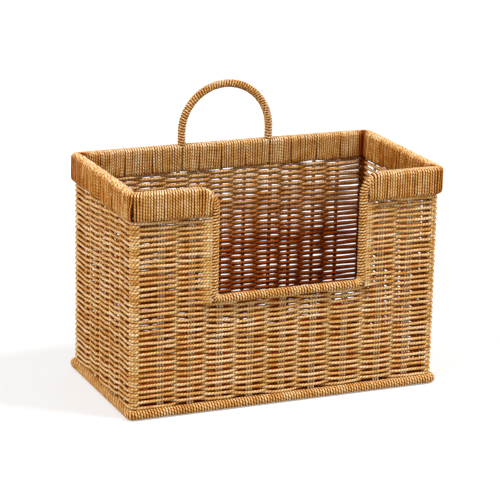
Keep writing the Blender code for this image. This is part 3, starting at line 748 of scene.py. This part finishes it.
def helix(route, side, radius, steps, bunch, crowd, closed=False, starts=1, hand=1):
    """The middle lines of a winding's cords round a route, each with the direction out of the route.
    Bunch says how uneven the turns are, crowd how far they keep their spacing on the outside of a bend,
    from 0 to 1, starts how many cords are wound side by side, and hand the way round."""
    tangent = np.gradient(route, axis=0)
    if closed:
        tangent[0] = tangent[-1] = route[1] - route[-2]
    tangent = unit(tangent)
    first = np.broadcast_to(np.asarray(side, float), route.shape)
    second = np.cross(tangent, first)
    steps_along = np.linalg.norm(np.diff(route, axis=0), axis=1)
    turning = np.linalg.norm(np.diff(tangent, axis=0), axis=1)
    length = np.concatenate([[0], np.cumsum(steps_along)])
    room = np.concatenate([[0], np.cumsum(steps_along + crowd * radius * turning)])
    turns = round(room[-1] / TURN_PITCH / starts)
    share = np.linspace(0, 1, turns * steps + 1)
    place = np.interp(uneven(bunch)(share) * room[-1], room, length)

    def carried(values):
        return np.column_stack([np.interp(place, length, values[:, k]) for k in range(3)])

    wander = 1 + RADIUS_STRAY * waves(*RADIUS_WAVES)(2 * pi * turns * share / RADIUS_WAVE_ANGLE)
    found = []
    for start in range(starts):
        angle = hand * 2 * pi * (turns * share + start / starts)
        out = unit(carried(first)) * np.cos(angle)[:, None]
        out = out + unit(carried(second)) * np.sin(angle)[:, None]
        found.append((carried(route) + out * (radius * wander)[:, None], out))
    return found


def uneven(amount):
    """Spacing of turns that bunches and spreads along a winding."""
    wave = waves(*SPACING_WAVES)

    def spacing(share):
        bend = amount * wave(share) * np.minimum(1, END_PARTS * np.minimum(share, 1 - share))
        return np.maximum.accumulate(np.clip(share + bend, 0, 1))

    return spacing


def wound_tones(turns, steps, contrast):
    """Each turn of a winding has a tone of its own, and the cord also changes slowly along its length."""
    own = np.repeat(chance.uniform(-contrast, contrast, turns), steps)
    along = np.arange(turns * steps) * WOUND_TONE_STEP
    return own + WOUND_ALONG_TONE * waves(*WOUND_TONE_WAVES)(along)


def add_round_winding(name, route, side, radius, nodes, bunch=0.0012, crowd=0.6, **manner):
    """A winding round a route, which stands for those nodes. Manner goes to helix."""
    cords = Cords()
    for points, out in helix(route, side, radius, TURN_RINGS, bunch, crowd, **manner):
        tones = wound_tones(len(points) // TURN_RINGS + 1, TURN_RINGS, WOUND_TONE)[: len(points)]
        cords.add(points, out, WOUND_CORD, tone=tones)
    cords.make(name, CANE_WOUND, "cane_cord", *nodes)


SILL_START = 0.0012  # a jamb's winding starts on the sill, this far before its bend
CURL_OVERRUN = 0.002  # its route goes on this far past the curl, before it is cut off at CURL_END
LOOP_SINK = 0.0022  # the loop's winding starts this far below the top of the rim


def cutout_windings():
    """The jambs, which curl over into the rim, and the sill between them."""
    half = JAMB_X - SILL_BEND - SILL_START
    for name, sign in (("left", -1), ("right", 1)):
        corners = [
            (sign * half, -WIRE_Y, SILL_WIRE_Z),
            (sign * JAMB_X, -WIRE_Y, SILL_WIRE_Z),
            (sign * JAMB_X, -WIRE_Y, RIM_WIRE_Z),
            (sign * (JAMB_X + CURL_BEND + CURL_OVERRUN), -WIRE_Y, RIM_WIRE_Z),
        ]
        route = filleted(corners, [SILL_BEND, CURL_BEND])
        route = route[np.abs(route[:, 0]) < JAMB_X + CURL_END]
        add_round_winding(f"jamb_{name}", route, (0, 1, 0), WIRE_TURN, [f"jamb_winding_{name}"])
    route = resampled(np.array([(-half, -WIRE_Y, SILL_WIRE_Z), (half, -WIRE_Y, SILL_WIRE_Z)]))
    add_round_winding("sill", route, (0, 1, 0), WIRE_TURN, ["sill_winding"])


def loop_winding():
    """The carrying loop, wound from rim to rim."""
    foot = RIM_TOP - LOOP_SINK
    bend = LEG_X
    centre_z = LOOP_TOP_Z - bend
    arc = [(bend * cos(a), LINE_Y, centre_z + bend * sin(a)) for a in np.linspace(0, pi, ARC_POINTS)]
    route = resampled(np.array([(LEG_X, LINE_Y, foot)] + arc + [(-LEG_X, LINE_Y, foot)]))
    add_round_winding("loop", route, (0, 1, 0), LOOP_TURN, ["loop_winding"], starts=2, hand=-1)


def base_winding():
    """The hoop that the basket stands on, wound all the way round."""
    line = Plan(LINE_X + BASE_OUT, LINE_Y + BASE_OUT, BASE_BEND)
    along = np.append(np.arange(0, line.length, ROUTE_STEP), line.length)
    plan, _ = line.place(along)
    route = np.column_stack([plan, np.full(len(along), BASE_WIRE_Z)])
    nodes = [f"base_winding_{side}" for side in ("front", "right", "back", "left")]
    add_round_winding("base_hoop", route, (0, 0, 1), BASE_TURN, nodes, bunch=0.0006, crowd=0.9, closed=True)


# The band: each turn runs up the outside, over the rim, down the inside and back under

BAND_OUT = WIRE_OUT + WIRE_TURN  # middle of the cord on the outside, from the stake line
BAND_IN = 0.0029  # middle of the cord on the inside
FOOT_BEND = 0.0016  # where a turn goes from the inside back under the band
STUB_PAST = 0.9 * CORD  # from the middle of a jamb's wound cord to the foot of the turn beside it
STUB_REACH = 0.010  # the turns lean over this length beside a jamb
STUB_LEAN = 0.0012  # towards the jamb, at the top of the last one
BEND_BEGIN, BEND_END = 0.36, 0.80  # shares of the band's height where a leaning turn bends over
SPLIT_RISE = 0.55  # below 1, the splits inside the band close early
SQUEEZE_REACH = 0.045  # over which the inner sides of the turns close up towards a corner
LEG_NEAR = 0.004  # a stake this close to a leg of the loop opens no split of its own

# Splits: how far the turns part on each side, and the length over which that fades
STAKE_OUTER_SPLIT = (0.0002, 0.004)
STAKE_INNER_SPLIT = (0.0014, 0.0055)
LEG_OUTER_SPLIT = (0.0006, 0.004)  # at the top of the band
LEG_INNER_SPLIT = (0.0005, 0.005)

# Single turns
TURN_JITTER = 0.00022  # along the band
INNER_STRAY = 0.00022  # across it, on the inside
OUTER_STRAY = {"front": 0.00008, "back": 0.00008, "left": 0.00030, "right": 0.00030}
SLANT = {"front": 0, "right": 0.0018, "back": 0.0006, "left": 0}  # of feet on the inside, along it
TOP_LEAN = 0.4  # share of the common lean that their tops take on the inside

# The turns that fan round a corner
CORNER_TURNS = 5
CORNER_TURN_STEP = 0.0016  # between their inner sides
CORNER_FREE = 0.3  # of that step, added before the first turn of a straight side
CORNER_JITTER = 0.03  # radians
CORNER_TIGHT = 0.94  # their tops fan out over this share of the angle
CORNER_GAP = 0.22  # radians by which those at the front left part at their feet
GAP_AFTER = 3  # turns, counted from the left side


def turn_section():
    """One turn across the band: offset from the stake line, height, and the direction out."""
    low = BAND_WIRE_Z - WIRE_TURN
    top = RIM_WIRE_Z + WIRE_TURN
    rows = []

    def arc(u, z, bend, begin, end, steps):
        for angle in np.radians(np.linspace(begin, end, steps + 1)):
            rows.append((u + bend * cos(angle), z + bend * sin(angle), cos(angle), sin(angle)))

    def leg(u, begin, end, steps, way):
        for z in np.linspace(begin, end, steps + 1)[1:-1]:
            rows.append((u, z, way, 0))

    arc(WIRE_OUT, BAND_WIRE_Z, WIRE_TURN, -90, 0, 3)
    leg(BAND_OUT, BAND_WIRE_Z, RIM_WIRE_Z, 6, 1)
    arc(WIRE_OUT, RIM_WIRE_Z, WIRE_TURN, 0, 90, 4)
    arc(0, top - BAND_IN, BAND_IN, 90, 180, 3)
    leg(-BAND_IN, top - BAND_IN, low + FOOT_BEND, 6, -1)
    arc(FOOT_BEND - BAND_IN, low + FOOT_BEND, FOOT_BEND, 180, 270, 2)
    return np.array(rows)


SECTION = turn_section()


def band_turn(outer_low, outer_top, inner_low, inner_top, dip, drop):
    """The points of one turn from the places of its four corners in plan. Dip is how far its top comes
    down where the rim curls over, and drop how far its foot hangs."""
    u, z, out_u, out_z = SECTION.T
    low, top = z.min(), z.max()
    rise = ((z - low) / (top - low))[:, None]
    z = z - dip * rise[:, 0] ** 2
    bent = np.clip((rise - BEND_BEGIN) / (BEND_END - BEND_BEGIN), 0, 1)
    outer = outer_low + (outer_top - outer_low) * bent * bent * (3 - 2 * bent)
    inner = inner_low + (inner_top - inner_low) * rise**SPLIT_RISE
    share = ((u + BAND_IN) / (BAND_OUT + BAND_IN))[:, None]
    plan = inner + (outer - inner) * share
    z = z - drop * (1 - rise[:, 0]) ** 6
    across = unit(outer_top - inner_top + outer_low - inner_low)
    points = np.column_stack([plan, z])
    out = np.column_stack([out_u[:, None] * across[None, :], out_z])
    return points, out


def parted(along, places, width, reach):
    """Pushes the turns apart at each stake, so that a dark split opens there."""
    moved = along.copy()
    for place in places:
        past = along - place
        moved += np.sign(past) * width * np.exp(-np.abs(past) / reach)
    return moved


def squeezed(along, half, free, give):
    """Draws the inner side of the turns back from a corner, where they have less room."""
    start = half - give
    past = np.clip((np.abs(along) - start) / give, 0, 1)
    return np.where(np.abs(along) > start, np.sign(along) * (start + past * (free - start)), along)


def band_windings():
    """The five windings of the band. The corners belong to those of the left and right sides."""
    # The middle of each side, the way along it, the way out, and half its length outside and inside
    runs = {
        "front": ((0, -LINE_Y), (1, 0), (0, -1), STAKE_LINE.straight_x, LINE_X - BAND_IN),
        "right": ((LINE_X, 0), (0, 1), (1, 0), STAKE_LINE.straight_y, LINE_Y - BAND_IN),
        "back": ((0, LINE_Y), (-1, 0), (0, 1), STAKE_LINE.straight_x, LINE_X - BAND_IN),
        "left": ((-LINE_X, 0), (0, -1), (-1, 0), STAKE_LINE.straight_y, LINE_Y - BAND_IN),
    }
    stub = JAMB_X + WIRE_TURN + STUB_PAST

    def straight(side, begin, end, stub_at=None):
        """The turns along a side. Stub_at is the place of the last one beside a jamb."""
        origin, heading, normal, half, inner_half = (np.array(v) for v in runs[side])
        count = int(round((end - begin) / BAND_PITCH)) + 1
        along = np.linspace(begin, end, count)
        along[1:-1] += chance.uniform(-TURN_JITTER, TURN_JITTER, count - 2)
        free = inner_half - CORNER_TURN_STEP * (CORNER_TURNS / 2 + CORNER_FREE)
        inner = squeezed(along, half, free, SQUEEZE_REACH)
        group = "wing" if side == "front" else side
        places = [place for name, place in STAKES.items() if name.startswith(group)]
        stakes = [float(np.dot(np.array([p.x, p.y]) - origin, heading)) for p in places]
        legs = [-LEG_X, LEG_X] if side == "back" else []
        stakes = [s for s in stakes if all(abs(s - leg) > LEG_NEAR for leg in legs)] + legs
        lean = LEAN_STRAY * waves(*LEAN_WAVES)(along)
        outer_low = parted(along, stakes, *STAKE_OUTER_SPLIT)
        outer_top = parted(along, legs, *LEG_OUTER_SPLIT)
        inner_top = parted(inner, legs, *LEG_INNER_SPLIT) + lean * TOP_LEAN
        inner_low = parted(inner, stakes, *STAKE_INNER_SPLIT) - lean + SLANT[side]
        inner_low += chance.uniform(-TURN_JITTER, TURN_JITTER, count)
        dips = np.zeros(count)
        if stub_at is not None:
            lean_in = STUB_LEAN * np.clip(1 - np.abs(along - stub_at) / STUB_REACH, 0, 1)
            outer_top = outer_top - np.sign(stub_at) * lean_in
            inner_top = inner_top - np.sign(stub_at) * lean_in
            past = np.clip(JAMB_X + CURL_BEND - np.abs(outer_top), 0, CURL_BEND)
            dips = CURL_BEND - np.sqrt(CURL_BEND**2 - past**2)
        found = []
        for k in range(count):
            outward = normal * (BAND_OUT + chance.normal(0, OUTER_STRAY[side], 2))[:, None]
            low_out, high_out = origin + heading * np.array([[outer_low[k]], [outer_top[k]]]) + outward
            inward = normal * (BAND_IN + chance.normal(0, INNER_STRAY, 2))[:, None]
            low_in, high_in = origin + heading * np.array([[inner_low[k]], [inner_top[k]]]) - inward
            found.append((low_out, high_out, low_in, high_in, dips[k]))
        return found

    def corner(x, y, first_side, last_side):
        """The turns that fan round a corner, from one side to the next."""
        centre = np.array([x * STAKE_LINE.straight_x, y * STAKE_LINE.straight_y])
        inner_corner = np.array([x * (LINE_X - BAND_IN), y * (LINE_Y - BAND_IN)])
        start = np.array(runs[first_side][2], float)
        end = np.array(runs[last_side][2], float)
        reach = STAKE_LINE.bend + BAND_OUT
        ahead = np.array(runs[first_side][1], float)
        following = np.array(runs[last_side][1], float)
        found = []
        for k in range(CORNER_TURNS):
            angle = (k + 0.5) / CORNER_TURNS * pi / 2 + chance.uniform(-CORNER_JITTER, CORNER_JITTER)
            tight = pi / 4 + (angle - pi / 4) * CORNER_TIGHT
            if last_side == "front" and k < GAP_AFTER:
                angle -= CORNER_GAP * (k + 1) / GAP_AFTER
            low = centre + (start * cos(angle) + end * sin(angle)) * reach
            top = centre + (start * cos(tight) + end * sin(tight)) * reach
            past = (k - (CORNER_TURNS - 1) / 2) * CORNER_TURN_STEP
            inner = inner_corner + (ahead if past < 0 else following) * past
            found.append((low, top, inner, inner, 0.0))
        return found

    margin = BAND_PITCH * 0.45
    half_x, half_y = STAKE_LINE.straight_x - margin, STAKE_LINE.straight_y - margin
    pieces = {
        "front_right": straight("front", stub, half_x, stub),
        "right": [
            *corner(1, -1, "front", "right"),
            *straight("right", -half_y, half_y),
            *corner(1, 1, "right", "back"),
        ],
        "back": straight("back", -half_x, half_x),
        "left": [
            *corner(-1, 1, "back", "left"),
            *straight("left", -half_y, half_y),
            *corner(-1, -1, "left", "front"),
        ],
        "front_left": straight("front", -half_x, -stub, -stub),
    }
    for name, turns in pieces.items():
        drops = DROP_STRAY * waves(*DROP_WAVES)(np.arange(len(turns)) * BAND_PITCH)
        found = [band_turn(*turn, drop) for turn, drop in zip(turns, drops)]
        points = np.concatenate([points for points, _ in found])
        out = np.concatenate([out for _, out in found])
        cords = Cords()
        # the left and right sides have a darker middle tone, as painted shade
        contrast, mean = SIDE_BAND_TONES_AND_SHADE if name in ("left", "right") else BAND_TONES
        # Painted shading across each turn: paler at the top of the rim as painted light, darker at the foot
        # as painted shade
        levels = [mean + BAND_FOOT_PAINTED_SHADE, mean, BAND_TOP_PAINTED_LIGHT]
        painted_shading = np.interp(SECTION[:, 1], [BAND_BOTTOM, RIM_WIRE_Z, RIM_TOP], levels)
        tones = wound_tones(len(turns), len(SECTION), contrast) + np.tile(painted_shading, len(turns))
        cords.add(points, out, WOUND_CORD, tone=tones)
        cords.make(f"band_{name}", CANE_WOUND, "cane_cord", f"band_winding_{name}")


weave_walls()
stake_strands()
floor_weave()
band_windings()
cutout_windings()
loop_winding()
base_winding()
for node in ("rim_wire", "band_wire", "base_wire", "loop_rod"):
    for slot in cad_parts[node].material_slots:
        slot.material = STEEL


# Stage, lights and camera


STAGE_HALF = 12.0
WORLD_LIGHT = 0.48  # on the basket; the camera sees plain white

CAMERA_AZIMUTH = -23.547  # degrees, from the front towards +X
CAMERA_ELEVATION = 16.336
CAMERA_ROLL = 1.288
CAMERA_TARGET = (-0.00448, 0, 0.12318)
CAMERA_DISTANCE = 2.1156
CAMERA_SENSOR = 36  # millimetres
CAMERA_LENS = 163.785


def add_stage():
    """The floor and the world."""
    mesh = bpy.data.meshes.new("floor")
    corners = [(x * STAGE_HALF, y * STAGE_HALF, 0) for x, y in ((-1, -1), (1, -1), (1, 1), (-1, 1))]
    mesh.from_pydata(corners, [], [(0, 1, 2, 3)])
    mesh.materials.append(floor_white())
    floor = bpy.data.objects.new("floor", mesh)
    bpy.context.scene.collection.objects.link(floor)

    world = bpy.data.worlds.new("studio")
    bpy.context.scene.world = world
    world.use_nodes = True
    tree = world.node_tree
    background = tree.nodes["Background"]
    background.inputs["Color"].default_value = (1, 1, 1, 1)
    path = tree.nodes.new("ShaderNodeLightPath")
    seen = tree.nodes.new("ShaderNodeMath")
    seen.operation = "MAXIMUM"
    tree.links.new(path.outputs["Is Camera Ray"], seen.inputs[0])
    tree.links.new(path.outputs["Is Transmission Ray"], seen.inputs[1])
    level = tree.nodes.new("ShaderNodeMapRange")
    tree.links.new(seen.outputs[0], level.inputs[0])
    level.inputs["To Min"].default_value = WORLD_LIGHT
    level.inputs["To Max"].default_value = 1.0
    tree.links.new(level.outputs[0], background.inputs["Strength"])


def add_sun(name, azimuth, elevation, spread, strength):
    """A soft, even light. Azimuth is counted from the front, towards +X, as for the camera."""
    light = bpy.data.lights.new(name, "SUN")
    light.angle = radians(spread)
    light.energy = strength
    lamp = bpy.data.objects.new(name, light)
    turn, lift = radians(azimuth), radians(elevation)
    toward = Vector((sin(turn) * cos(lift), -cos(turn) * cos(lift), sin(lift)))
    lamp.rotation_euler = toward.to_track_quat("Z", "Y").to_euler()
    bpy.context.scene.collection.objects.link(lamp)


def add_camera():
    """The photograph's view, fitted to the outline of the basket."""
    azimuth, elevation, roll = (radians(a) for a in (CAMERA_AZIMUTH, CAMERA_ELEVATION, CAMERA_ROLL))
    away = Vector((sin(azimuth) * cos(elevation), -cos(azimuth) * cos(elevation), sin(elevation)))
    right = (-away).cross(Vector((0, 0, 1))).normalized()
    up = right.cross(-away)
    x_axis = right * cos(roll) + up * sin(roll)
    y_axis = -right * sin(roll) + up * cos(roll)
    view = Matrix((x_axis, y_axis, away)).transposed().to_4x4()
    view.translation = Vector(CAMERA_TARGET) + away * CAMERA_DISTANCE
    data = bpy.data.cameras.new("camera")
    data.sensor_width = CAMERA_SENSOR
    data.lens = CAMERA_LENS
    camera = bpy.data.objects.new("camera", data)
    camera.matrix_world = view
    bpy.context.scene.collection.objects.link(camera)
    bpy.context.scene.camera = camera


add_stage()
add_sun("right", azimuth=60, elevation=54, spread=18, strength=2.5)
add_sun("left", azimuth=-70, elevation=44, spread=18, strength=2.1)
add_camera()
bpy.context.scene.view_settings.view_transform = "Standard"
